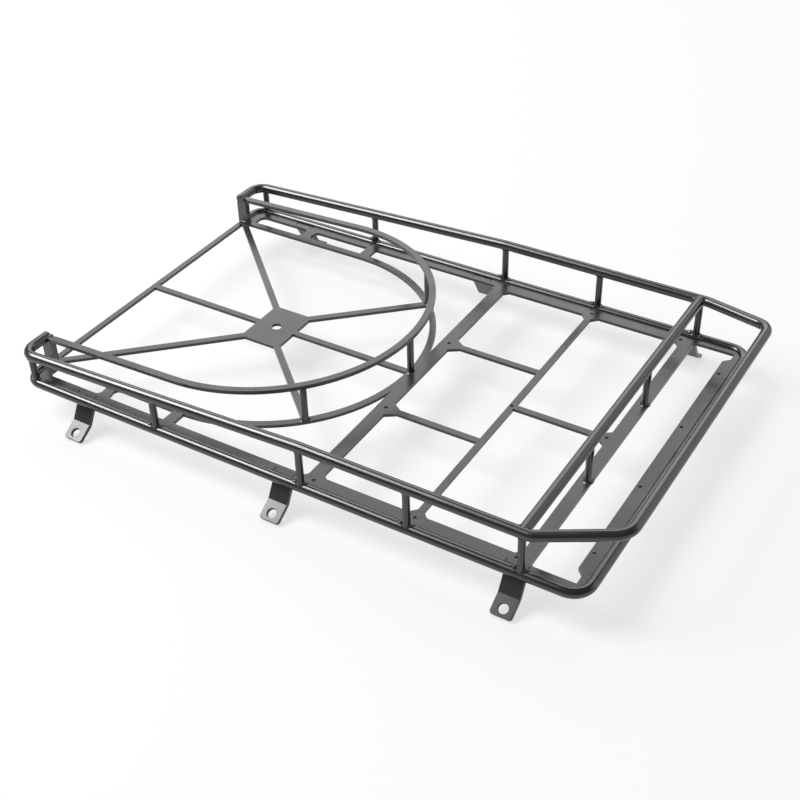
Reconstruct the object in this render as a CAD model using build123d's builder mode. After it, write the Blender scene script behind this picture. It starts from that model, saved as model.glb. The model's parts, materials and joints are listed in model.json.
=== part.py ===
from build123d import *
import os
from math import cos, radians, sin

# Roof cargo basket for a one-tenth scale off-road vehicle. It is a welded assembly of round bar, flat
# bar and cut sheet. +X points to the vehicle's front, +Y to its left and +Z up. The origin lies on the
# middle of the surface that the six feet stand on.

os.makedirs("parts", exist_ok=True)

# Stock
RAIL_D = 3.0  # round bar of the rails and the crossbar
POST_D = 2.0  # round bar of the upright posts
SHEET_T = 1.0  # sheet of the floor
FOOT_T = 1.2  # strip of the feet
HOOP_W = 2.0  # flat bar of the hoop, across
HOOP_T = 1.2  # flat bar of the hoop, through

# Feet: a tab in the floor's notch, a splayed leg and a pad that slopes with the roof's edge
FOOT_W = 6.0
FOOT_PITCH = 68.0
FOOT_MID_X = -2.3
TAB_Y = 54.2
TAB_BEND_DROP = 0.9
KNEE_Y = 57.8
KNEE_DROP = 7.15
PAD_LENGTH = 5.8
PAD_ANGLE = 32.0
FOOT_HOLE_D = 2.7
FOOT_HOLE_ALONG = 3.6
FOOT_TIP_R = 0.9
TAB_BEND_R = 0.8
KNEE_R = {"rear": 1.0, "middle": 1.0, "front": 2.2}

# Heights
LOWER_Z = KNEE_DROP + PAD_LENGTH * sin(radians(PAD_ANGLE)) + FOOT_T / 2 * cos(radians(PAD_ANGLE))
FLOOR_TOP_Z = LOWER_Z + SHEET_T / 2
UPPER_Z = LOWER_Z + 13.2
NOSE_Z = LOWER_Z + 16.2
SIDE_SLOPE = 0.044  # the upper rail falls towards the rear by this much per millimetre

# Rails in plan
HALF_WIDTH = 56.5  # axis of both side rails
REAR_X = -90.5  # axis of both rear runs
LOWER_FRONT_X = 83.9
NOSE_X = 90.5
NOSE_HALF_WIDTH = 48.0
KINK_X = 69.9
CROSSBAR_X = 67.6
FRONT_BEND_R = 5.0
REAR_BEND_R = 4.3
KINK_R = 3.0
SLOPE_BEND_R = 20.0
RAIL_END_R = 0.35

# Posts in plan
POST_XS = {"rear": -87.3, "quarter": -43.3, "middle": 4.5, "forward": 36.2, "front": 67.7}
CROSSBAR_POST_Y = 18.5
CORNER_POST_X = -89.9
CORNER_POST_Y = 47.0
CORNER_POST_SIZE = (3.4, 2.1)

# Tyre hoop and hub
HUB_X = -43.3
HOOP_R = 47.0
HOOP_MITRE = 3.0  # length of the slanted cut at each end of the hoop
HOOP_SLOPE = 0.038  # the hoop falls towards the rear a little less than the rails do
HUB_SIZE = (13.2, 18.0)
HUB_CHAMFER = 1.2
HUB_BORE_D = 3.2
CORNER_SPOKE_W = 2.0
MID_SPOKE_W = 1.8
REAR_BAR_X = -90.45
REAR_BAR_W = 1.7

# Floor sheet, as cells between cross strips A, B, C and D
BAY_X = (-86.4, 3.6)
BAY_HALF_WIDTH = 52.5
BAY_REAR_R = 2.0
BAY_FRONT_R = 1.5
WEB_REAR = ((-67.2, -64.0), (-67.9, -65.2))
WEB_FRONT = ((-44.2, -40.8), (-44.2, -40.8))
WEB_CORNER_R = 1.5
CELL_AB_X = (7.4, 35.3)
CELL_BC_X = (37.1, 64.9)
CELL_CD_X = (68.6, 78.85)
CELL_HALF_WIDTH = 51.2
CELL_CD_HALF_WIDTH = 53.3
CELL_CHAMFER = 1.8
CD_EAR = (1.85, 3.1, 5.0)  # the front cell reaches further forward near the sides: depth, end and root
SIDE_BAR_Y = 17.8
FLOOR_BAR_W = 1.8
GUSSET_LENGTH = 3.0
GUSSET_WIDTH = 2.0
LAMP_PITCH = 28.0
LAMP_X = 80.1
SMALL_HOLE_D = 1.1
NOTCH_CLEARANCE = 0.2
SIDES = {"left": 1, "right": -1}


def keep(builder, label):
    """Name a finished piece and write it out."""
    builder.part.label = label
    export_step(builder.part, f"parts/{label}.step")
    return builder.part


def round_bar(points, radii):
    """Sweep the rail's round section along straight runs joined by tangent bends."""
    with BuildPart() as bar:
        with BuildLine() as path:
            FilletPolyline(*points, radius=radii)
        with BuildSketch(Plane(origin=path.wire() @ 0, z_dir=path.wire() % 0)):
            Circle(RAIL_D / 2)
        sweep()
    expected = path.wire().length * Circle(RAIL_D / 2).area
    print(f"round bar: volume {bar.part.volume:.2f}, section times length {expected:.2f}")
    return bar


def flat_strip(start, end, width):
    """Add a straight strip of the given width to the open sketch."""
    with BuildLine() as strip_line:
        Line(start, end)
    trace(strip_line.line, width)


def tyre_band(hub_x, rear_x):
    """Add the U-shaped band that goes round the tyre, open to the rear, to the open sketch."""
    with BuildLine() as band_line:
        Line((rear_x, -HOOP_R), (hub_x, -HOOP_R))
        ThreePointArc((hub_x, -HOOP_R), (hub_x + HOOP_R, 0), (hub_x, HOOP_R))
        Line((hub_x, HOOP_R), (rear_x, HOOP_R))
    trace(band_line.line, HOOP_W)


def cell(x_range, half_width, chamfer_x, chamfer_y):
    """Cut a cell whose rear corners, then its front ones, are cut off; a negative cut is an ear."""
    rear, front = x_range
    with BuildLine() as outline:
        Polyline(
            (rear, half_width - chamfer_y[0]),
            (rear + chamfer_x[0], half_width),
            (front - chamfer_x[1], half_width),
            (front, half_width - chamfer_y[1]),
            (front, chamfer_y[1] - half_width),
            (front - chamfer_x[1], -half_width),
            (rear + chamfer_x[0], -half_width),
            (rear, chamfer_y[0] - half_width),
            close=True,
        )
    make_face(outline.edges(), mode=Mode.SUBTRACT)


def gusset(x, y, direction):
    """Add the widened root of a floor bar where it leaves a cross strip."""
    root = FLOOR_BAR_W / 2 + GUSSET_WIDTH
    tip_x = x + direction * GUSSET_LENGTH
    with BuildLine() as outline:
        Polyline((x, y - root), (tip_x, y - FLOOR_BAR_W / 2), (tip_x, y + FLOOR_BAR_W / 2), (x, y + root),
                 close=True)
    make_face(outline.edges())


# Rails
lower_rail = round_bar(
    [
        (REAR_X, -CORNER_POST_Y - CORNER_POST_SIZE[1] / 2, LOWER_Z),
        (REAR_X, -HALF_WIDTH, LOWER_Z),
        (LOWER_FRONT_X, -HALF_WIDTH, LOWER_Z),
        (LOWER_FRONT_X, HALF_WIDTH, LOWER_Z),
        (REAR_X, HALF_WIDTH, LOWER_Z),
        (REAR_X, CORNER_POST_Y + CORNER_POST_SIZE[1] / 2, LOWER_Z),
    ],
    [REAR_BEND_R, FRONT_BEND_R, FRONT_BEND_R, REAR_BEND_R],
)
keep(lower_rail, "lower_rail")

rail_rear_z = UPPER_Z - SIDE_SLOPE * (POST_XS["middle"] - REAR_X)
rail_end_y = CORNER_POST_Y - CORNER_POST_SIZE[1] / 2
left_run = [
    (NOSE_X, NOSE_HALF_WIDTH, NOSE_Z),
    (KINK_X, HALF_WIDTH, UPPER_Z),
    (POST_XS["middle"], HALF_WIDTH, UPPER_Z),
    (REAR_X, HALF_WIDTH, rail_rear_z),
    (REAR_X, rail_end_y, rail_rear_z),
]
right_run = [(x, -y, z) for x, y, z in reversed(left_run)]
upper_rail = round_bar(
    right_run + left_run,
    [REAR_BEND_R, SLOPE_BEND_R, KINK_R, FRONT_BEND_R, FRONT_BEND_R, KINK_R, SLOPE_BEND_R, REAR_BEND_R],
)
with upper_rail:
    fillet(upper_rail.faces().filter_by(Axis.Y).edges(), RAIL_END_R)
keep(upper_rail, "upper_rail")

with BuildPart() as crossbar:
    with BuildSketch(Plane.XZ.offset(-HALF_WIDTH)):
        with Locations((CROSSBAR_X, UPPER_Z)):
            Circle(RAIL_D / 2)
    extrude(amount=2 * HALF_WIDTH)
    add(upper_rail.part, mode=Mode.SUBTRACT)
keep(crossbar, "crossbar")

# Floor sheet: cut out of one piece, and fitted inside the lower rail
with BuildPart() as floor_plate:
    with BuildSketch(Plane.XY.offset(LOWER_Z - SHEET_T / 2)) as floor_sketch:
        with BuildLine():
            FilletPolyline(
                (REAR_X, -HALF_WIDTH),
                (LOWER_FRONT_X, -HALF_WIDTH),
                (LOWER_FRONT_X, HALF_WIDTH),
                (REAR_X, HALF_WIDTH),
                radius=[REAR_BEND_R, FRONT_BEND_R, FRONT_BEND_R, REAR_BEND_R],
                close=True,
            )
        make_face()
        # Bay of the spare tyre
        with BuildLine():
            FilletPolyline(
                (BAY_X[0], -BAY_HALF_WIDTH),
                (BAY_X[1], -BAY_HALF_WIDTH),
                (BAY_X[1], BAY_HALF_WIDTH),
                (BAY_X[0], BAY_HALF_WIDTH),
                radius=[BAY_REAR_R, BAY_FRONT_R, BAY_FRONT_R, BAY_REAR_R],
                close=True,
            )
        make_face(mode=Mode.SUBTRACT)
        with Locations(((REAR_X - RAIL_D + BAY_X[0]) / 2, 0)):
            Rectangle(BAY_X[0] - REAR_X + RAIL_D, 2 * HOOP_R, mode=Mode.SUBTRACT)
        tyre_band(HUB_X, REAR_BAR_X - REAR_BAR_W / 2)
        flat_strip((REAR_BAR_X, -HOOP_R), (REAR_BAR_X, HOOP_R), REAR_BAR_W)
        # Webs between the band and the side strips
        for side in SIDES.values():
            for outer, inner in (WEB_REAR, WEB_FRONT):
                with BuildLine():
                    Polyline(
                        (outer[0], side * BAY_HALF_WIDTH),
                        (outer[1], side * BAY_HALF_WIDTH),
                        (inner[1], side * HOOP_R),
                        (inner[0], side * HOOP_R),
                        close=True,
                    )
                make_face()
        web_corners = floor_sketch.vertices().filter_by(
            lambda corner: min(WEB_REAR[1]) - 0.1 < corner.X < max(WEB_REAR[0]) + 0.1
            and HOOP_R < abs(corner.Y) < BAY_HALF_WIDTH + 0.1
        )
        fillet(web_corners, WEB_CORNER_R)
        # Hub and spokes
        with Locations((HUB_X, 0)):
            hub = Rectangle(*HUB_SIZE)
        chamfer(hub.vertices(), HUB_CHAMFER)
        spoke_root = (HUB_SIZE[0] / 2 - HUB_CHAMFER, HUB_SIZE[1] / 2 - HUB_CHAMFER)
        spoke_tip = HOOP_R * cos(radians(45))
        for side in SIDES.values():
            root_y = side * spoke_root[1]
            flat_strip((HUB_X + spoke_root[0], root_y), (HUB_X + spoke_tip, side * spoke_tip), CORNER_SPOKE_W)
            flat_strip((HUB_X - spoke_root[0], root_y), (REAR_BAR_X, side * HOOP_R), CORNER_SPOKE_W)
        flat_strip((REAR_BAR_X, 0), (BAY_X[1], 0), MID_SPOKE_W)
        # Cells ahead of strip A and the bars across them
        cell(CELL_AB_X, CELL_HALF_WIDTH, (1.5, CELL_CHAMFER), (1.5, CELL_CHAMFER))
        cell(CELL_BC_X, CELL_HALF_WIDTH, (CELL_CHAMFER, 1.5), (CELL_CHAMFER, 1.5))
        cell(CELL_CD_X, CELL_CD_HALF_WIDTH, (0.8, -CD_EAR[0]), (0.8, CD_EAR[2]))
        for side in SIDES.values():
            ear_x = CELL_CD_X[1] + CD_EAR[0]
            with BuildLine() as ear:
                Polyline(
                    (CELL_CD_X[1], side * (CELL_CD_HALF_WIDTH - CD_EAR[2])),
                    (ear_x, side * (CELL_CD_HALF_WIDTH - CD_EAR[1])),
                    (ear_x, side * CELL_CD_HALF_WIDTH),
                    close=True,
                )
            make_face(ear.edges(), mode=Mode.SUBTRACT)
        for side in SIDES.values():
            flat_strip((CELL_AB_X[0], side * SIDE_BAR_Y), (CELL_AB_X[1], side * SIDE_BAR_Y), FLOOR_BAR_W)
            gusset(CELL_AB_X[0], side * SIDE_BAR_Y, 1)
        flat_strip((CELL_BC_X[0], 0), (CELL_BC_X[1], 0), FLOOR_BAR_W)
        gusset(CELL_BC_X[1], 0, -1)
        # Holes: the tyre bolt, the lamps on strip D, and small tie holes
        with Locations((HUB_X, 0)):
            Circle(HUB_BORE_D / 2, mode=Mode.SUBTRACT)
        with Locations((LAMP_X, 0)):
            with GridLocations(1, LAMP_PITCH, 1, 4):
                Circle(SMALL_HOLE_D / 2, mode=Mode.SUBTRACT)
        tie_holes = [(36.2, 0), (64.5, 0)]
        for side in SIDES.values():
            tie_holes += [(6.3, side * 53.2), (6.3, side * SIDE_BAR_Y)]
            tie_holes += [(36.2, side * 52.5), (64.5, side * 52.6)]
        with Locations(*tie_holes):
            Circle(SMALL_HOLE_D / 2, mode=Mode.SUBTRACT)
        # Notches that take the feet's tabs
        for side in SIDES.values():
            notch_inner_y = TAB_Y - FOOT_T / 2
            with Locations((FOOT_MID_X, side * (notch_inner_y + HALF_WIDTH) / 2)):
                with GridLocations(FOOT_PITCH, 1, 3, 1):
                    Rectangle(FOOT_W + 2 * NOTCH_CLEARANCE, HALF_WIDTH - notch_inner_y, mode=Mode.SUBTRACT)
    extrude(amount=SHEET_T)
    add(lower_rail.part, mode=Mode.SUBTRACT)
keep(floor_plate, "floor_plate")

# Hoop above the floor: flat bar in a plane that falls towards the rear with the side rails
hoop_top_z = UPPER_Z - 0.1 - HOOP_SLOPE * (POST_XS["middle"] - HUB_X)
hoop_top = Plane(origin=(HUB_X, 0, hoop_top_z), x_dir=(1, 0, HOOP_SLOPE), z_dir=(-HOOP_SLOPE, 0, 1))
with BuildPart() as upper_hoop:
    with BuildSketch(hoop_top):
        tyre_band(0, REAR_X - HUB_X)
        for side in SIDES.values():
            with BuildLine():
                Polyline(
                    (REAR_X - HUB_X, side * (HOOP_R - HOOP_W / 2)),
                    (REAR_X - HUB_X + HOOP_MITRE, side * (HOOP_R - HOOP_W / 2)),
                    (REAR_X - HUB_X, side * (HOOP_R + HOOP_W / 2)),
                    close=True,
                )
            make_face(mode=Mode.SUBTRACT)
    extrude(amount=-HOOP_T)
    add(upper_rail.part, mode=Mode.SUBTRACT)
keep(upper_hoop, "upper_hoop")
hoop_underside = hoop_top.offset(-HOOP_T)

# Posts between the two side rails, coped round both
for place, x in POST_XS.items():
    for side_name, side in SIDES.items():
        with BuildPart() as side_post:
            with BuildSketch(Plane.XY.offset(LOWER_Z)):
                with Locations((x, side * HALF_WIDTH)):
                    Circle(POST_D / 2)
            extrude(amount=UPPER_Z - SIDE_SLOPE * max(0, POST_XS["middle"] - x) - LOWER_Z)
            add([lower_rail.part, upper_rail.part, crossbar.part], mode=Mode.SUBTRACT)
        keep(side_post, f"post_{place}_{side_name}")

# Posts from the floor to the crossbar
for side_name, side in SIDES.items():
    with BuildPart() as crossbar_post:
        with BuildSketch(Plane.XY.offset(FLOOR_TOP_Z)):
            with Locations((CROSSBAR_X, side * CROSSBAR_POST_Y)):
                Circle(POST_D / 2)
        extrude(amount=UPPER_Z - FLOOR_TOP_Z)
        add(crossbar.part, mode=Mode.SUBTRACT)
    keep(crossbar_post, f"crossbar_post_{side_name}")

# Posts from the floor to the hoop
for name, angle in {"left": 45, "front": 0, "right": -45}.items():
    with BuildPart() as hoop_post:
        with BuildSketch(Plane.XY.offset(FLOOR_TOP_Z)):
            with Locations((HUB_X + HOOP_R * cos(radians(angle)), HOOP_R * sin(radians(angle)))):
                Circle(POST_D / 2)
        extrude(amount=UPPER_Z - FLOOR_TOP_Z)
        split(bisect_by=hoop_underside, keep=Keep.BOTTOM)
    keep(hoop_post, f"hoop_post_{name}")

# Rear corner posts: flat bar under the end of the upper rail and the hoop
for side_name, side in SIDES.items():
    with BuildPart() as corner_post:
        with BuildSketch(Plane.XY.offset(FLOOR_TOP_Z)):
            with Locations((CORNER_POST_X, side * CORNER_POST_Y)):
                Rectangle(*CORNER_POST_SIZE)
        extrude(amount=UPPER_Z - FLOOR_TOP_Z)
        split(bisect_by=hoop_underside, keep=Keep.BOTTOM)
        add([lower_rail.part, upper_rail.part], mode=Mode.SUBTRACT)
    keep(corner_post, f"corner_post_{side_name}")

# Feet
for index, (place, knee_r) in enumerate(KNEE_R.items()):
    for side_name, side in SIDES.items():
        foot_x = FOOT_MID_X + (index - 1) * FOOT_PITCH
        pad_run = Vector(0, side * cos(radians(PAD_ANGLE)), -sin(radians(PAD_ANGLE)))
        knee = Vector(foot_x, side * KNEE_Y, LOWER_Z - KNEE_DROP)
        pad_normal = pad_run.cross(Vector(1, 0, 0))
        pad_face = Plane(origin=knee + pad_run * FOOT_HOLE_ALONG, x_dir=(1, 0, 0), z_dir=pad_normal)
        tip = knee + pad_run * PAD_LENGTH
        with BuildPart() as foot:
            with BuildSketch(Plane.YZ.offset(foot_x - FOOT_W / 2)):
                with BuildLine() as foot_line:
                    FilletPolyline(
                        (side * TAB_Y, FLOOR_TOP_Z),
                        (side * TAB_Y, LOWER_Z - TAB_BEND_DROP),
                        (side * KNEE_Y, LOWER_Z - KNEE_DROP),
                        (tip.Y, tip.Z),
                        radius=[TAB_BEND_R, knee_r],
                    )
                trace(foot_line.line, FOOT_T)
            extrude(amount=FOOT_W)
            tip_corners = foot.edges().filter_by(Axis(tip, pad_face.z_dir)).sort_by(Axis.Z)[:2]
            fillet(tip_corners, FOOT_TIP_R)
            with Locations(pad_face):
                Hole(FOOT_HOLE_D / 2)
        keep(foot, f"foot_{place}_{side_name}")
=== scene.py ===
"""Looks of a welded roof cargo basket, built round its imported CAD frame. Lengths are in metres."""
import json
import logging
import math
from dataclasses import dataclass, field
from enum import Enum

import bmesh
import bpy
from mathutils import Matrix, Vector


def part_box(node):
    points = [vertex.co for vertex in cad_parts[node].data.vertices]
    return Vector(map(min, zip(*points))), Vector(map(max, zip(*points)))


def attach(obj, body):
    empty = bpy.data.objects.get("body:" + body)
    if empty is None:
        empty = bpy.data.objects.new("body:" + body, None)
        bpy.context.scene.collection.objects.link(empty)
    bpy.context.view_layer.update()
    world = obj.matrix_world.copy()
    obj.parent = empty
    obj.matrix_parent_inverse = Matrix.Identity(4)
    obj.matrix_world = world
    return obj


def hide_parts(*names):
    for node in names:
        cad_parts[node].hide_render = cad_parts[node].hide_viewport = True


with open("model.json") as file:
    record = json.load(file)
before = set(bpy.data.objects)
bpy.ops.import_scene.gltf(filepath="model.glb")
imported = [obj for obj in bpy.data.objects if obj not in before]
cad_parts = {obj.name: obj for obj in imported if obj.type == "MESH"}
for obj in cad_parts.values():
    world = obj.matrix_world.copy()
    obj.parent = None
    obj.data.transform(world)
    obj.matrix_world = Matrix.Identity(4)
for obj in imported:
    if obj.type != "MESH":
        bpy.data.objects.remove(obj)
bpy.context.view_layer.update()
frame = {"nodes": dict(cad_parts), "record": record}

LOG = logging.getLogger("basket")
MM = 0.001
BODY = "root"
SIDES = (("left", 1), ("right", -1))
ALONG_X = Vector((1.0, 0.0, 0.0))
ALONG_Y = Vector((0.0, 1.0, 0.0))
UP = Vector((0.0, 0.0, 1.0))
RAIL_RADIUS = 1.5 * MM
POST_RADIUS = 1.0 * MM
# Height above a rail's axis of the lowest points of a post that is coped round the rail
COPE = math.sqrt(RAIL_RADIUS**2 - POST_RADIUS**2)
SIDE_POSTS = [node for node in sorted(frame["nodes"]) if node.startswith("post_")]


class Stock(Enum):
    """The stock that a piece is made of, which sets how its coat lies and its grey, painted lighter or
    darker to stand for light and shade.
    """

    BAR = "bar"
    SHEET = "sheet"
    FLAT = "flat"
    BEAD = "bead"


@dataclass(frozen=True)
class PowderCoat:
    """Satin black powder coat, baked on steel.

    Args:
        stock: what lies under the coat.
        grey: reflectance of the coat, the same for all three colours, set per stock as painted light and
            shade.
        roughness: middle value of the gloss map.
        peel: depth of the orange peel, in metres.
        wear: how much an edge lightens where the coat is rubbed, from 0 to 1.
        ior: refractive index of the coat, which sets how strongly it mirrors.
    """

    stock: Stock
    grey: float
    roughness: float
    peel: float
    wear: float
    ior: float

    def material(self) -> bpy.types.Material:
        """Write the coat's node tree.

        Returns:
            The finished material.
        """
        coat = bpy.data.materials.new(f"powder_coat_{self.stock.value}")
        coat.use_nodes = True
        tree = coat.node_tree
        nodes = tree.nodes
        links = tree.links
        nodes.clear()

        colour_frame = nodes.new("NodeFrame")
        colour_frame.label = "Colour: cloudy coat, rubbed edges, fine dust"
        gloss_frame = nodes.new("NodeFrame")
        gloss_frame.label = "Gloss: patches and handling marks"
        relief_frame = nodes.new("NodeFrame")
        relief_frame.label = "Relief: orange peel over a longer wave"

        place = nodes.new("ShaderNodeTexCoord")
        place.label = "Place on the basket"
        cloud = nodes.new("ShaderNodeTexNoise")
        cloud.label = "Clouds of thicker and thinner coat"
        cloud.parent = colour_frame
        cloud.inputs["Scale"].default_value = 55.0
        cloud.inputs["Detail"].default_value = 3.0
        cloud.inputs["Roughness"].default_value = 0.55
        tint = nodes.new("ShaderNodeMapRange")
        tint.label = "Grey of the coat"
        tint.parent = colour_frame
        tint.inputs["From Min"].default_value = 0.3
        tint.inputs["From Max"].default_value = 0.7
        tint.inputs["To Min"].default_value = self.grey * 0.86
        tint.inputs["To Max"].default_value = self.grey * 1.14

        round_edge = nodes.new("ShaderNodeBevel")
        round_edge.label = "Face averaged across an edge"
        round_edge.parent = colour_frame
        round_edge.samples = 6
        round_edge.inputs["Radius"].default_value = 0.3 * MM
        true_face = nodes.new("ShaderNodeNewGeometry")
        true_face.label = "Face under the coat"
        true_face.parent = colour_frame
        turned = nodes.new("ShaderNodeVectorMath")
        turned.label = "How far an edge turns"
        turned.parent = colour_frame
        turned.operation = "DOT_PRODUCT"
        edge = nodes.new("ShaderNodeMapRange")
        edge.label = "Rubbed edge"
        edge.parent = colour_frame
        edge.inputs["From Min"].default_value = 0.995
        edge.inputs["From Max"].default_value = 0.86
        edge.inputs["To Min"].default_value = 0.0
        edge.inputs["To Max"].default_value = self.wear
        rub = nodes.new("ShaderNodeTexNoise")
        rub.label = "Where hands rub"
        rub.parent = colour_frame
        rub.inputs["Scale"].default_value = 240.0
        rub.inputs["Detail"].default_value = 4.0
        rubbed = nodes.new("ShaderNodeMath")
        rubbed.label = "Broken rub"
        rubbed.parent = colour_frame
        rubbed.operation = "MULTIPLY"
        lighter = nodes.new("ShaderNodeMath")
        lighter.label = "Rub lightens the coat"
        lighter.parent = colour_frame
        lighter.operation = "MULTIPLY_ADD"
        lighter.inputs[1].default_value = 0.22

        specks = nodes.new("ShaderNodeTexVoronoi")
        specks.label = "Dust nibs"
        specks.parent = colour_frame
        specks.inputs["Scale"].default_value = 900.0
        nib = nodes.new("ShaderNodeMapRange")
        nib.label = "Smallest nibs only"
        nib.parent = colour_frame
        nib.inputs["From Min"].default_value = 0.05
        nib.inputs["From Max"].default_value = 0.0
        nib.inputs["To Max"].default_value = 0.05
        dusted = nodes.new("ShaderNodeMath")
        dusted.label = "Nibs on the coat"
        dusted.parent = colour_frame
        dusted.operation = "ADD"
        grey = nodes.new("ShaderNodeCombineColor")
        grey.label = "Neutral colour"
        grey.parent = colour_frame

        patch = nodes.new("ShaderNodeTexNoise")
        patch.label = "Patches of gloss"
        patch.parent = gloss_frame
        patch.inputs["Scale"].default_value = 130.0
        patch.inputs["Detail"].default_value = 4.0
        gloss = nodes.new("ShaderNodeMapRange")
        gloss.label = "Roughness of the coat"
        gloss.parent = gloss_frame
        gloss.inputs["From Min"].default_value = 0.3
        gloss.inputs["From Max"].default_value = 0.7
        gloss.inputs["To Min"].default_value = self.roughness - 0.05
        gloss.inputs["To Max"].default_value = self.roughness + 0.07
        worn_gloss = nodes.new("ShaderNodeMath")
        worn_gloss.label = "Rub dulls the coat"
        worn_gloss.parent = gloss_frame
        worn_gloss.operation = "MULTIPLY_ADD"
        worn_gloss.inputs[1].default_value = 0.25

        fine_peel = nodes.new("ShaderNodeTexNoise")
        fine_peel.label = "Fine orange peel"
        fine_peel.parent = relief_frame
        fine_peel.inputs["Scale"].default_value = 1500.0
        fine_peel.inputs["Detail"].default_value = 2.0
        long_wave = nodes.new("ShaderNodeTexNoise")
        long_wave.label = "Long wave of the coat"
        long_wave.parent = relief_frame
        long_wave.inputs["Scale"].default_value = 420.0
        long_wave.inputs["Detail"].default_value = 1.0
        peel_bump = nodes.new("ShaderNodeBump")
        peel_bump.label = "Orange peel"
        peel_bump.parent = relief_frame
        peel_bump.inputs["Strength"].default_value = 1.0
        peel_bump.inputs["Distance"].default_value = self.peel
        wave_bump = nodes.new("ShaderNodeBump")
        wave_bump.label = "Wave under the peel"
        wave_bump.parent = relief_frame
        wave_bump.inputs["Strength"].default_value = 1.0
        wave_bump.inputs["Distance"].default_value = self.peel * 1.6

        shader = nodes.new("ShaderNodeBsdfPrincipled")
        shader.label = "Powder coat"
        shader.inputs["IOR"].default_value = self.ior
        output = nodes.new("ShaderNodeOutputMaterial")
        output.label = "Coat"

        links.new(place.outputs["Object"], cloud.inputs["Vector"])
        links.new(place.outputs["Object"], rub.inputs["Vector"])
        links.new(place.outputs["Object"], specks.inputs["Vector"])
        links.new(place.outputs["Object"], patch.inputs["Vector"])
        links.new(place.outputs["Object"], fine_peel.inputs["Vector"])
        links.new(place.outputs["Object"], long_wave.inputs["Vector"])
        links.new(cloud.outputs["Fac"], tint.inputs["Value"])
        links.new(round_edge.outputs["Normal"], turned.inputs[0])
        links.new(true_face.outputs["Normal"], turned.inputs[1])
        links.new(turned.outputs["Value"], edge.inputs["Value"])
        links.new(edge.outputs["Result"], rubbed.inputs[0])
        links.new(rub.outputs["Fac"], rubbed.inputs[1])
        links.new(rubbed.outputs["Value"], lighter.inputs[0])
        links.new(tint.outputs["Result"], lighter.inputs[2])
        links.new(specks.outputs["Distance"], nib.inputs["Value"])
        links.new(lighter.outputs["Value"], dusted.inputs[0])
        links.new(nib.outputs["Result"], dusted.inputs[1])
        links.new(dusted.outputs["Value"], grey.inputs["Red"])
        links.new(dusted.outputs["Value"], grey.inputs["Green"])
        links.new(dusted.outputs["Value"], grey.inputs["Blue"])
        links.new(patch.outputs["Fac"], gloss.inputs["Value"])
        links.new(rubbed.outputs["Value"], worn_gloss.inputs[0])
        links.new(gloss.outputs["Result"], worn_gloss.inputs[2])
        links.new(long_wave.outputs["Fac"], wave_bump.inputs["Height"])
        links.new(fine_peel.outputs["Fac"], peel_bump.inputs["Height"])
        links.new(wave_bump.outputs["Normal"], peel_bump.inputs["Normal"])
        links.new(grey.outputs["Color"], shader.inputs["Base Color"])
        links.new(worn_gloss.outputs["Value"], shader.inputs["Roughness"])
        links.new(peel_bump.outputs["Normal"], shader.inputs["Normal"])
        links.new(shader.outputs["BSDF"], output.inputs["Surface"])

        columns = [
            [place],
            [cloud, rub, specks, patch, fine_peel, long_wave, round_edge, true_face],
            [tint, turned, nib, gloss, wave_bump],
            [edge, rubbed, peel_bump],
            [lighter, worn_gloss, dusted],
            [grey],
            [shader],
            [output],
        ]
        for column, members in enumerate(columns):
            for row, node in enumerate(members):
                node.location = (column * 260.0, -row * 240.0)
        return coat


# All pieces wear one black coat; the greys differ as painted light and shade: darker on the bars, lighter
# on the corner posts' flat bars.
BAR_COAT = PowderCoat(Stock.BAR, grey=0.011, roughness=0.19, peel=0.001 * MM, wear=0.35, ior=1.65)
SHEET_COAT = PowderCoat(Stock.SHEET, grey=0.025, roughness=0.27, peel=0.005 * MM, wear=0.6, ior=1.5)
FLAT_COAT = PowderCoat(Stock.FLAT, grey=0.045, roughness=0.28, peel=0.004 * MM, wear=0.6, ior=1.62)
BEAD_COAT = PowderCoat(Stock.BEAD, grey=0.016, roughness=0.13, peel=0.005 * MM, wear=0.2, ior=1.62)


@dataclass(frozen=True)
class Softbox:
    """A rectangular light that faces the basket.

    Args:
        name: the light's name.
        place: its middle.
        size: its width, which lies along X, and its depth.
        power: in watts.
    """

    name: str
    place: tuple
    size: tuple
    power: float

    def hang(self) -> bpy.types.Object:
        """Put the light in its place, turned to the origin.

        Returns:
            The light.
        """
        data = bpy.data.lights.new(self.name, "AREA")
        data.shape = "RECTANGLE"
        data.size, data.size_y = self.size
        data.energy = self.power
        lamp = bpy.data.objects.new(self.name, data)
        bpy.context.scene.collection.objects.link(lamp)
        away = Vector(self.place).normalized()
        width_axis = (ALONG_X - away * away.x).normalized()
        facing = Matrix((width_axis, away.cross(width_axis), away)).transposed().to_4x4()
        lamp.matrix_world = Matrix.Translation(self.place) @ facing
        return lamp


SOFTBOXES = (
    Softbox("rear_softbox", (-0.66, -0.29, 0.75), (0.47, 0.58), 13.0),
    Softbox("rear_softbox_fall", (-0.35, -0.29, 0.75), (0.13, 0.58), 1.35),
    Softbox("rear_softbox_edge", (-0.22, -0.29, 0.75), (0.12, 0.58), 0.45),
    Softbox("far_softbox", (-0.5, 0.85, 0.78), (1.2, 0.9), 8.0),
    Softbox("front_panel", (0.75, 0.85, 0.52), (1.4, 0.9), 4.0),
)


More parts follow.
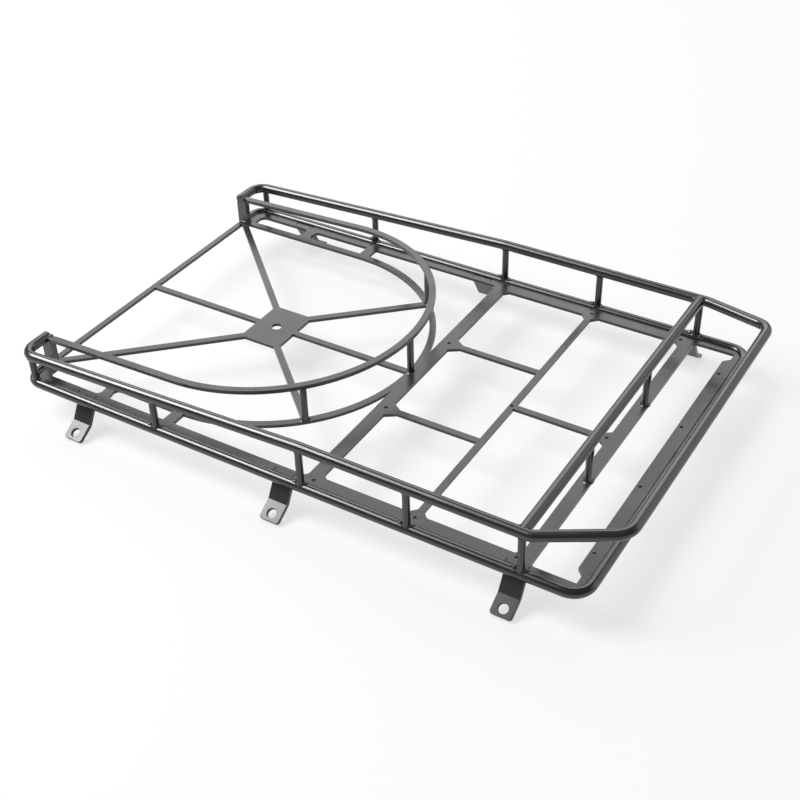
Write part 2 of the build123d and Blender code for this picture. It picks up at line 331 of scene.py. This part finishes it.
@dataclass
class Studio:
    """Camera, floor and soft light.

    Args:
        aim: point that the camera looks at.
        distance: from the camera to that point.
        azimuth: direction of view, in degrees from +Y towards -X.
        elevation: height of the camera above the horizon, in degrees.
        roll: turn of the camera about its line of sight, in degrees.
        lens: focal length, in millimetres.
        sensor: width of the sensor, in millimetres.
        near: nearest distance that the camera sees.
        far: farthest distance that the camera sees.
        floor_size: side of the square floor.
        floor_grey: reflectance of the floor.
        floor_glow: radiance that the floor adds of its own.
        room_light: radiance of the room.
    """

    aim: Vector = field(default_factory=lambda: Vector((7.6 * MM, -12.42 * MM, 10.73 * MM)))
    distance: float = 369.32 * MM
    azimuth: float = 32.12
    elevation: float = 37.28
    roll: float = -1.57
    lens: float = 59.64
    sensor: float = 36.0
    near: float = 0.01
    far: float = 50.0
    floor_size: float = 6.0
    floor_grey: float = 0.22
    floor_glow: float = 0.66
    room_light: float = 0.2

    def camera(self) -> bpy.types.Object:
        """Place the camera on its line of sight, rolled about it.

        Returns:
            The camera, which is the scene's.
        """
        turn = math.radians(self.azimuth)
        rise = math.radians(self.elevation)
        flat = math.cos(rise)
        away = Vector((math.sin(turn) * flat, -math.cos(turn) * flat, math.sin(rise)))
        data = bpy.data.cameras.new("camera")
        data.lens = self.lens
        data.sensor_width = self.sensor
        data.clip_start = self.near
        data.clip_end = self.far
        camera = bpy.data.objects.new("camera", data)
        bpy.context.scene.collection.objects.link(camera)
        facing = away.to_track_quat("Z", "Y").to_matrix().to_4x4()
        spin = Matrix.Rotation(math.radians(self.roll), 4, "Z")
        camera.matrix_world = Matrix.Translation(self.aim + away * self.distance) @ facing @ spin
        bpy.context.scene.camera = camera
        return camera

    def floor(self) -> bpy.types.Object:
        """Lay a pale floor under the feet.

        Returns:
            The floor.
        """
        half = self.floor_size / 2
        data = bpy.data.meshes.new("floor")
        corners = [(-half, -half, 0.0), (half, -half, 0.0), (half, half, 0.0), (-half, half, 0.0)]
        data.from_pydata(corners, [], [(0, 1, 2, 3)])
        ground = bpy.data.objects.new("floor", data)
        bpy.context.scene.collection.objects.link(ground)
        paper = bpy.data.materials.new("paper")
        paper.use_nodes = True
        nodes = paper.node_tree.nodes
        nodes.clear()
        shader = nodes.new("ShaderNodeBsdfPrincipled")
        shader.label = "Matt paper"
        shader.location = (0.0, 0.0)
        shader.inputs["Base Color"].default_value = (self.floor_grey, self.floor_grey, self.floor_grey, 1.0)
        shader.inputs["Roughness"].default_value = 0.9
        shader.inputs["Specular IOR Level"].default_value = 0.0
        shader.inputs["Emission Color"].default_value = (1.0, 1.0, 1.0, 1.0)
        shader.inputs["Emission Strength"].default_value = self.floor_glow
        output = nodes.new("ShaderNodeOutputMaterial")
        output.label = "Floor"
        output.location = (300.0, 0.0)
        paper.node_tree.links.new(shader.outputs["BSDF"], output.inputs["Surface"])
        data.materials.append(paper)
        return ground

    def world(self) -> None:
        """Fill the room with even pale light."""
        room = bpy.data.worlds.new("room")
        room.use_nodes = True
        backdrop = room.node_tree.nodes["Background"]
        backdrop.inputs["Color"].default_value = (1.0, 1.0, 1.0, 1.0)
        backdrop.inputs["Strength"].default_value = self.room_light
        bpy.context.scene.world = room

    def build(self) -> None:
        """Set up the whole studio."""
        self.camera()
        self.floor()
        self.world()
        for softbox in SOFTBOXES:
            softbox.hang()


class Spread(Enum):
    """How a weld bead spreads from a post onto what the post stands on."""

    ROUND_BAR = "round_bar"
    WIDE_SHEET = "wide_sheet"
    NARROW_STRIP = "narrow_strip"


# Share of a fillet's width that is lost straight across the bar or strip that it spreads onto
SHRINK = {Spread.ROUND_BAR: 0.55, Spread.WIDE_SHEET: 0.0, Spread.NARROW_STRIP: 0.92}
# The same where a bar meets another that is no thicker
EQUAL_BAR_SHRINK = 0.97


def link_mesh(name: str, points: list, faces: list) -> bpy.types.Object:
    """Make an object at the origin from points and faces, with its faces turned outwards.

    Args:
        name: the piece's name.
        points: its vertices.
        faces: its faces, as tuples of vertex indices.

    Returns:
        The piece.
    """
    data = bpy.data.meshes.new(name)
    data.from_pydata([tuple(point) for point in points], [], faces)
    cage = bmesh.new()
    cage.from_mesh(data)
    bmesh.ops.recalc_face_normals(cage, faces=cage.faces)
    cage.to_mesh(data)
    cage.free()
    piece = bpy.data.objects.new(name, data)
    bpy.context.scene.collection.objects.link(piece)
    return piece


def round_off(piece: bpy.types.Object, level: int) -> None:
    """Smooth a coarse cage into a round shape.

    Args:
        piece: the cage.
        level: how often its faces are divided.
    """
    smooth = piece.modifiers.new("round", "SUBSURF")
    smooth.levels = level
    smooth.render_levels = level


def ripple(piece: bpy.types.Object, size: float, height: float) -> None:
    """Give weld metal the uneven skin that it sets with.

    Args:
        piece: the bead or pool.
        size: of the ripples along the skin.
        height: of the ripples, from the lowest to the highest.
    """
    lumps = bpy.data.textures.new(f"{piece.name}_lumps", "CLOUDS")
    lumps.noise_scale = size
    skin = piece.modifiers.new("ripple", "DISPLACE")
    skin.texture = lumps
    skin.texture_coords = "LOCAL"
    skin.strength = height
    skin.mid_level = 0.5


def finish_piece(piece: bpy.types.Object, coat: bpy.types.Material) -> bpy.types.Object:
    """Coat a piece, hang it on the basket's body and report it.

    Args:
        piece: the piece, in place.
        coat: its finish.

    Returns:
        The same piece.
    """
    piece.data.materials.clear()
    piece.data.materials.append(coat)
    for face in piece.data.polygons:
        face.use_smooth = True
    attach(piece, BODY)
    LOG.info("built %s", piece.name)
    return piece


@dataclass
class RoundBar:
    """A bar of round section that follows straight runs joined by bends.

    Args:
        node: the CAD node that the bar stands for.
        corners: where the runs' axes meet, with both ends.
        bends: radius of each bend, one for each inner corner.
        radius: of the bar.
        around: points of the cage round the section.
        bend_step: largest turn between two stations of a bend.
        end_ease: radius of the eased edge at both ends.
        end_run: place of an extra station on the first and last runs, as a share of the run.
        level: how often the cage is divided.
    """

    node: str
    corners: list
    bends: list
    radius: float
    around: int = 12
    bend_step: float = math.radians(15.0)
    end_ease: float = 0.35 * MM
    end_run: float = 0.25
    level: int = 2

    def centre_line(self) -> list:
        """Lay points along the axis, close together on the bends.

        Returns:
            The points, from one end to the other.
        """
        line = [self.corners[0], self.corners[0].lerp(self.corners[1], self.end_run)]
        for index, bend in enumerate(self.bends):
            before, corner, after = self.corners[index:index + 3]
            arrive = (corner - before).normalized()
            leave = (after - corner).normalized()
            turn = arrive.angle(leave)
            reach = bend * math.tan(turn / 2)
            steps = max(2, math.ceil(turn / self.bend_step))
            stride = bend * turn / steps
            inward = (leave - arrive * leave.dot(arrive)).normalized()
            middle = corner - arrive * reach + inward * bend
            line.append(corner - arrive * (reach + stride))
            for step in range(steps + 1):
                swept = turn * step / steps
                inset = inward * (bend * math.cos(swept))
                line.append(middle - inset + arrive * (bend * math.sin(swept)))
            line.append(corner + leave * (reach + stride))
        line.append(self.corners[-1].lerp(self.corners[-2], self.end_run))
        line.append(self.corners[-1])
        return line

    def stations(self) -> list:
        """Add the eased ends to the centre line.

        Returns:
            Pairs of an axis point and the cage's radius there.
        """
        # A subdivided ring shrinks to (4 + 2 cos a) / 6 of its cage, a being the turn between two points
        swell = 6.0 / (4.0 + 2.0 * math.cos(2.0 * math.pi / self.around))
        line = self.centre_line()
        full = self.radius * swell
        small = (self.radius - self.end_ease) * swell
        first = (line[1] - line[0]).normalized()
        last = (line[-2] - line[-1]).normalized()
        start = [
            (line[0], small),
            (line[0] + first * self.end_ease, full),
            (line[0] + first * self.end_ease * 2, full),
        ]
        finish = [
            (line[-1] + last * self.end_ease * 2, full),
            (line[-1] + last * self.end_ease, full),
            (line[-1], small),
        ]
        return start + [(point, full) for point in line[1:-1]] + finish

    def build(self, coat: bpy.types.Material) -> bpy.types.Object:
        """Sweep the section along the axis without twist.

        Args:
            coat: its finish.

        Returns:
            The bar, which replaces the node.
        """
        stations = self.stations()
        heading = (stations[1][0] - stations[0][0]).normalized()
        across = heading.orthogonal().normalized()
        points = []
        for index, (point, radius) in enumerate(stations):
            before = stations[max(index - 1, 0)][0]
            after = stations[min(index + 1, len(stations) - 1)][0]
            heading = (after - before).normalized()
            across = (across - heading * across.dot(heading)).normalized()
            beside = heading.cross(across)
            for part in range(self.around):
                turn = 2.0 * math.pi * part / self.around
                out = across * (radius * math.cos(turn))
                points.append(point + out + beside * (radius * math.sin(turn)))
        faces = [tuple(range(self.around)), tuple(range(len(points) - self.around, len(points)))]
        for ring in range(len(stations) - 1):
            for part in range(self.around):
                after = (part + 1) % self.around
                base = ring * self.around
                following = base + self.around
                faces.append((base + part, base + after, following + after, following + part))
        piece = link_mesh(f"{self.node}_bar", points, faces)
        round_off(piece, self.level)
        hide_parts(self.node)
        return finish_piece(piece, coat)


@dataclass
class Bars:
    """The rails, the crossbar and the upright posts, placed from the boxes of their CAD nodes.

    Args:
        rear_bend: radius of both rails' bends at the rear corners.
        front_bend: radius of both rails' bends at the front corners.
        kink_bend: radius of the upper rail's bend where the nose starts.
        slope_bend: radius of the upper rail's bend where it starts to fall to the rear.
        kink_x: where the nose starts.
        nose_half_width: half the distance between the nose's corners.
        seat: how far a post goes into the sheet or strip that it stands on.
    """

    rear_bend: float = 4.3 * MM
    front_bend: float = 5.0 * MM
    kink_bend: float = 3.0 * MM
    slope_bend: float = 20.0 * MM
    kink_x: float = 69.9 * MM
    nose_half_width: float = 48.0 * MM
    seat: float = 0.2 * MM

    def lower_rail(self, coat: bpy.types.Material) -> None:
        """Bend the lower rail, which lies level."""
        low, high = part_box("lower_rail")
        rear = low.x + RAIL_RADIUS
        front = high.x - RAIL_RADIUS
        side = high.y - RAIL_RADIUS
        level = (low.z + high.z) / 2
        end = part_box("corner_post_left")[1].y
        plan = [(rear, -end), (rear, -side), (front, -side), (front, side), (rear, side), (rear, end)]
        corners = [Vector((x, y, level)) for x, y in plan]
        bends = [self.rear_bend, self.front_bend]
        RoundBar("lower_rail", corners, bends + bends[::-1], RAIL_RADIUS).build(coat)

    def upper_rail(self, coat: bpy.types.Material) -> None:
        """Bend the upper rail, which falls to the rear and rises to the nose."""
        low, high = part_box("upper_rail")
        bar_low, bar_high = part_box("crossbar")
        level = (bar_low.z + bar_high.z) / 2
        post_low, post_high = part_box("post_middle_left")
        nose = high.x - RAIL_RADIUS
        rear = low.x + RAIL_RADIUS
        side = high.y - RAIL_RADIUS
        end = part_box("corner_post_left")[0].y
        left = [
            Vector((nose, self.nose_half_width, high.z - RAIL_RADIUS)),
            Vector((self.kink_x, side, level)),
            Vector(((post_low.x + post_high.x) / 2, side, level)),
            Vector((rear, side, low.z + RAIL_RADIUS)),
            Vector((rear, end, low.z + RAIL_RADIUS)),
        ]
        right = [Vector((corner.x, -corner.y, corner.z)) for corner in reversed(left)]
        bends = [self.rear_bend, self.slope_bend, self.kink_bend, self.front_bend]
        RoundBar("upper_rail", right + left, bends + bends[::-1], RAIL_RADIUS).build(coat)

    def upright(self, node: str, bottom: float, top: float, coat: bpy.types.Material) -> None:
        """Stand a post between two heights, at its node's place."""
        low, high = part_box(node)
        x = (low.x + high.x) / 2
        y = (low.y + high.y) / 2
        RoundBar(node, [Vector((x, y, bottom)), Vector((x, y, top))], [], POST_RADIUS).build(coat)

    def posts(self, coat: bpy.types.Material) -> None:
        """Stand every post, with its ends let into what it joins."""
        for node in sorted(frame["nodes"]):
            low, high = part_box(node)
            if node in SIDE_POSTS:
                self.upright(node, low.z - COPE, high.z + COPE, coat)
            elif node.startswith("crossbar_post_"):
                self.upright(node, low.z - self.seat, high.z + COPE, coat)
            elif node.startswith("hoop_post_"):
                self.upright(node, low.z - self.seat, high.z + self.seat, coat)

    def crossbar(self, coat: bpy.types.Material) -> None:
        """Lay the crossbar with its ends let into the rails."""
        low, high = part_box("crossbar")
        middle = (low + high) / 2
        reach = ALONG_Y * (high.y + RAIL_RADIUS / 2)
        RoundBar("crossbar", [middle - reach, middle + reach], [], RAIL_RADIUS).build(coat)

    def build(self, coat: bpy.types.Material) -> None:
        """Build every bar."""
        self.lower_rail(coat)
        self.upper_rail(coat)
        self.crossbar(coat)
        self.posts(coat)


@dataclass
class WeldBead:
    """A concave fillet that runs round the end of a post.

    Args:
        name: the piece's name.
        seat: where the post's axis meets the rail's axis or the sheet's face.
        away: unit vector along the post, away from its seat.
        along: unit vector along the rail or strip.
        post_radius: of the post.
        rail_radius: of the rail, or 0 for sheet.
        leg: height and width of the fillet.
        spread: what the bead spreads onto.
        around: sections round the post.
        across: points across the fillet.
        buried: how far the ring's back lies inside the post and the seat.
        post_bite: how far the fillet's top edge goes into the post.
        seat_bite: how far its outer edge goes into the seat.
        steepest: largest height of a fillet, as a multiple of its width.
        ripple_size: size of the ripples along the fillet.
        ripple_height: height of the ripples.
        level: how often the ring is divided.
    """

    name: str
    seat: Vector
    away: Vector
    along: Vector
    post_radius: float
    rail_radius: float
    leg: float
    spread: Spread
    around: int = 20
    across: int = 5
    buried: float = 0.12 * MM
    post_bite: float = 0.01 * MM
    seat_bite: float = 0.02 * MM
    steepest: float = 1.2
    ripple_size: float = 0.8 * MM
    ripple_height: float = 0.1 * MM
    level: int = 2

    def seat_height(self, sideways: float) -> float:
        """Height of the seat's surface above its axis or face, at a distance to the side."""
        if self.spread is not Spread.ROUND_BAR:
            return 0.0
        return math.sqrt(max(self.rail_radius**2 - sideways**2, 0.0))

    def reach(self, turn: float) -> float:
        """Width of the fillet in a direction, which shrinks where the seat falls away."""
        sine = math.sin(turn)
        shrink = SHRINK[self.spread]
        if self.post_radius >= self.rail_radius > 0.0:
            shrink = EQUAL_BAR_SHRINK
        return self.leg * (1.0 - shrink * sine * sine)

    def build(self, coat: bpy.types.Material) -> bpy.types.Object:
        """Build the bead as a closed ring.

        Args:
            coat: its finish.

        Returns:
            The bead.
        """
        side = self.away.cross(self.along).normalized()
        points = []
        for step in range(self.around):
            turn = 2.0 * math.pi * step / self.around
            reach = self.reach(turn)
            section = []
            for part in range(self.across):
                sweep = math.pi / 2 * part / (self.across - 1)
                radius = self.post_radius + reach * (1.0 - math.cos(sweep))
                rise = min(self.leg, reach * self.steepest) * (1.0 - math.sin(sweep))
                section.append((radius, self.seat_height(radius * math.sin(turn)) + rise))
            back = self.post_radius - self.buried
            section[0] = (self.post_radius - self.post_bite, section[0][1])
            section[-1] = (section[-1][0], section[-1][1] - self.seat_bite)
            section.append((back, self.seat_height(back * math.sin(turn)) - self.buried))
            for radius, height in section:
                out = self.along * (radius * math.cos(turn)) + side * (radius * math.sin(turn))
                points.append(self.seat + out + self.away * height)
        ring = self.across + 1
        faces = []
        for step in range(self.around):
            base = step * ring
            following = (step + 1) % self.around * ring
            for part in range(ring):
                after = (part + 1) % ring
                faces.append((base + part, base + after, following + after, following + part))
        piece = link_mesh(self.name, points, faces)
        round_off(piece, self.level)
        ripple(piece, self.ripple_size, self.ripple_height)
        return finish_piece(piece, coat)


@dataclass
class WeldPool:
    """A lumpy pool of weld metal, drawn out along a seam.

    Args:
        name: the piece's name.
        middle: of the pool.
        half: its half sizes along X, Y and Z, in millimetres.
        ripple_size: size of the ripples along its skin.
        ripple_height: height of the ripples.
        swell: size of the box-shaped cage, as a multiple of the size of the pool.
        level: how often the cage is divided.
    """

    name: str
    middle: Vector
    half: tuple
    ripple_size: float = 0.9 * MM
    ripple_height: float = 0.3 * MM
    swell: float = 1.3
    level: int = 4

    def build(self, coat: bpy.types.Material) -> bpy.types.Object:
        """Build the pool from a box-shaped cage.

        Args:
            coat: its finish.

        Returns:
            The pool.
        """
        half = Vector(self.half) * MM
        points = []
        for corner in range(8):
            signs = (corner & 1 or -1, corner >> 1 & 1 or -1, corner >> 2 & 1 or -1)
            reach = Vector([sign * size * self.swell for sign, size in zip(signs, half)])
            points.append(self.middle + reach)
        faces = [(0, 2, 3, 1), (4, 5, 7, 6), (0, 1, 5, 4), (2, 6, 7, 3), (0, 4, 6, 2), (1, 3, 7, 5)]
        piece = link_mesh(self.name, points, faces)
        round_off(piece, self.level)
        ripple(piece, self.ripple_size, self.ripple_height)
        return finish_piece(piece, coat)


@dataclass
class EasedSheet:
    """A cut sheet or flat bar piece whose edges the coat rounds off.

    Args:
        node: the CAD node that the piece stands for.
        radius: of the rounded edges.
        merge: distance within which loose corners become one.
        flat: smallest turn between two triangles that stay separate faces.
        sharp: smallest turn of an edge that is rounded.
    """

    node: str
    radius: float = 0.14 * MM
    merge: float = 0.002 * MM
    flat: float = math.radians(0.6)
    sharp: float = math.radians(35.0)

    def build(self, coat: bpy.types.Material) -> bpy.types.Object:
        """Copy the node's shape, join its triangles into faces and round its edges.

        Args:
            coat: its finish.

        Returns:
            The piece, which replaces the node.
        """
        source = frame["nodes"][self.node]
        data = source.data.copy()
        shape = bmesh.new()
        shape.from_mesh(data)
        bmesh.ops.remove_doubles(shape, verts=shape.verts, dist=self.merge)
        bmesh.ops.dissolve_limit(
            shape, angle_limit=self.flat, verts=shape.verts, edges=shape.edges, delimit={"NORMAL"}
        )
        shape.to_mesh(data)
        shape.free()
        data.name = f"{self.node}_eased"
        piece = bpy.data.objects.new(f"{self.node}_eased", data)
        bpy.context.scene.collection.objects.link(piece)
        ease = piece.modifiers.new("ease", "BEVEL")
        ease.width = self.radius
        ease.segments = 2
        ease.limit_method = "ANGLE"
        ease.angle_limit = self.sharp
        ease.use_clamp_overlap = True
        ease.harden_normals = False
        level = piece.modifiers.new("level", "WEIGHTED_NORMAL")
        level.keep_sharp = False
        level.weight = 90
        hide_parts(self.node)
        return finish_piece(piece, coat)


@dataclass
class Welds:
    """Every bead on the basket, placed from the posts and rails that it joins.

    Args:
        leg: height and width of the beads.
        crossbar_leg: leg of the beads at the crossbar's ends, as a multiple of the others'.
        proud: how far the corners' pools stand off the hoop's legs and the corner posts.
        foot_lift: height of the pools at the corner posts' feet above the floor sheet.
        rail_overlap: distance from the post's inner face to the middle of the pool at a rail's end.
        flank_gap: distance from the same face to the middle of the pool at the foot's side.
        tack_behind: distance of the rear drop from its post's axis.
        tack_ahead: distance of the front drop from its post's axis.
        tack_inward: how far the front drop lies inside the rail's axis.
        tack_sink: how far the front drop lies below the rail's crest.
        tack_ripple: size of the ripples on the drops.
    """

    leg: float = 0.78 * MM
    crossbar_leg: float = 1.3
    proud: float = 0.1 * MM
    foot_lift: float = 0.15 * MM
    rail_overlap: float = 0.5 * MM
    flank_gap: float = 0.05 * MM
    tack_behind: float = 1.7 * MM
    tack_ahead: float = 1.5 * MM
    tack_inward: float = 0.4 * MM
    tack_sink: float = 0.15 * MM
    tack_ripple: float = 0.6 * MM

    def post_axis(self, node: str) -> tuple:
        """Find the middle of a post in plan, and its lowest and highest points."""
        low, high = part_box(node)
        return (low.x + high.x) / 2, (low.y + high.y) / 2, low.z, high.z

    def on_bar(
        self, name: str, seat: Vector, away: Vector, along: Vector, coat: bpy.types.Material
    ) -> None:
        """Weld a post's end to a rail or the crossbar."""
        WeldBead(name, seat, away, along, POST_RADIUS, RAIL_RADIUS, self.leg, Spread.ROUND_BAR).build(coat)

    def on_flat(
        self, name: str, seat: Vector, away: Vector, along: Vector, spread: Spread, coat: bpy.types.Material
    ) -> None:
        """Weld a post's end to the face of the sheet or of the hoop."""
        WeldBead(name, seat, away, along, POST_RADIUS, 0.0, self.leg, spread).build(coat)

    def side_posts(self, coat: bpy.types.Material) -> None:
        """Weld both ends of each post between the two rails."""
        for node in SIDE_POSTS:
            x, y, low, high = self.post_axis(node)
            self.on_bar(f"bead_{node}_foot", Vector((x, y, low - COPE)), UP, ALONG_X, coat)
            self.on_bar(f"bead_{node}_head", Vector((x, y, high + COPE)), -UP, ALONG_X, coat)

    def crossbar(self, coat: bpy.types.Material) -> None:
        """Weld the crossbar's ends and its two posts."""
        low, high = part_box("crossbar")
        middle = (low + high) / 2
        for side_name, side in SIDES:
            seat = Vector((middle.x, side * (high.y - low.y) / 2, middle.z))
            WeldBead(f"bead_crossbar_{side_name}", seat, ALONG_Y * -side, ALONG_X, RAIL_RADIUS, RAIL_RADIUS,
                     self.leg * self.crossbar_leg, Spread.ROUND_BAR).build(coat)
            node = f"crossbar_post_{side_name}"
            x, y, foot, head = self.post_axis(node)
            self.on_flat(f"bead_{node}_foot", Vector((x, y, foot)), UP, ALONG_Y, Spread.WIDE_SHEET, coat)
            self.on_bar(f"bead_{node}_head", Vector((x, y, head + COPE)), -UP, ALONG_Y, coat)

    def hoop(self, coat: bpy.types.Material) -> None:
        """Weld the posts of the tyre hoop to the floor band and to the hoop."""
        tyre_bolt = next(mount for mount in frame["record"]["mounts"] if mount["name"] == "tyre_bolt")
        hub_x = tyre_bolt["pos_m"][0]
        for name in ("left", "front", "right"):
            node = f"hoop_post_{name}"
            x, y, foot, head = self.post_axis(node)
            along = Vector((-y, x - hub_x, 0)).normalized()
            self.on_flat(f"bead_{node}_foot", Vector((x, y, foot)), UP, along, Spread.NARROW_STRIP, coat)
            self.on_flat(f"bead_{node}_head", Vector((x, y, head)), -UP, along, Spread.NARROW_STRIP, coat)

    def corners(self, coat: bpy.types.Material) -> None:
        """Pool weld metal where the rails and the hoop meet the rear corner posts."""
        for side_name, side in SIDES:
            low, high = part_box(f"corner_post_{side_name}")
            middle = (low + high) / 2
            inner = side * min(abs(low.y), abs(high.y))
            leg_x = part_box("upper_hoop")[0].x + self.proud
            rail_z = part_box("upper_rail")[0].z + RAIL_RADIUS
            foot_z = low.z + self.foot_lift
            rail_end = Vector((leg_x, inner + side * self.rail_overlap, rail_z))
            hoop_leg = Vector((high.x, middle.y, high.z))
            foot = Vector((high.x + self.proud, middle.y, foot_z))
            flank = Vector((middle.x, inner - side * self.flank_gap, foot_z))
            WeldPool(f"pool_rail_end_{side_name}", rail_end, (0.75, 0.75, 0.85)).build(coat)
            WeldPool(f"pool_hoop_leg_{side_name}", hoop_leg, (0.5, 1.05, 0.4)).build(coat)
            WeldPool(f"pool_corner_foot_{side_name}", foot, (0.45, 1.1, 0.5)).build(coat)
            WeldPool(f"pool_corner_side_{side_name}", flank, (1.5, 0.4, 0.45)).build(coat)

    def tacks(self, coat: bpy.types.Material) -> None:
        """Leave glossy drops on the lower rail beside each side post, where the torch lifted off."""
        for node in SIDE_POSTS:
            x, y, low, _ = self.post_axis(node)
            crest = low - COPE + RAIL_RADIUS
            inward = math.copysign(self.tack_inward, -y)
            # The rail bends away behind the rearmost posts, so they have no drop there
            if not node.startswith("post_rear"):
                behind = Vector((x - self.tack_behind, y, crest))
                WeldPool(f"pool_{node}_rear", behind, (0.75, 0.75, 0.45), self.tack_ripple).build(coat)
            ahead = Vector((x + self.tack_ahead, y + inward, crest - self.tack_sink))
            WeldPool(f"pool_{node}_front", ahead, (0.6, 0.5, 0.4), self.tack_ripple).build(coat)

    def build(self, coat: bpy.types.Material) -> None:
        """Lay every bead."""
        self.side_posts(coat)
        self.crossbar(coat)
        self.hoop(coat)
        self.corners(coat)
        self.tacks(coat)


def main() -> None:
    """Build and dress the basket, then the studio round it."""
    logging.basicConfig(level=logging.INFO, format="%(name)s: %(message)s")
    bpy.context.scene.view_settings.view_transform = "Standard"
    bar = BAR_COAT.material()
    sheet = SHEET_COAT.material()
    flat = FLAT_COAT.material()
    bead = BEAD_COAT.material()
    for name in sorted(frame["nodes"]):
        if name.startswith(("floor", "foot", "upper_hoop")):
            EasedSheet(name).build(sheet)
        elif name.startswith("corner"):
            EasedSheet(name).build(flat)
    Bars().build(bar)
    Welds().build(bead)
    Studio().build()


if __name__ == "__main__":
    main()
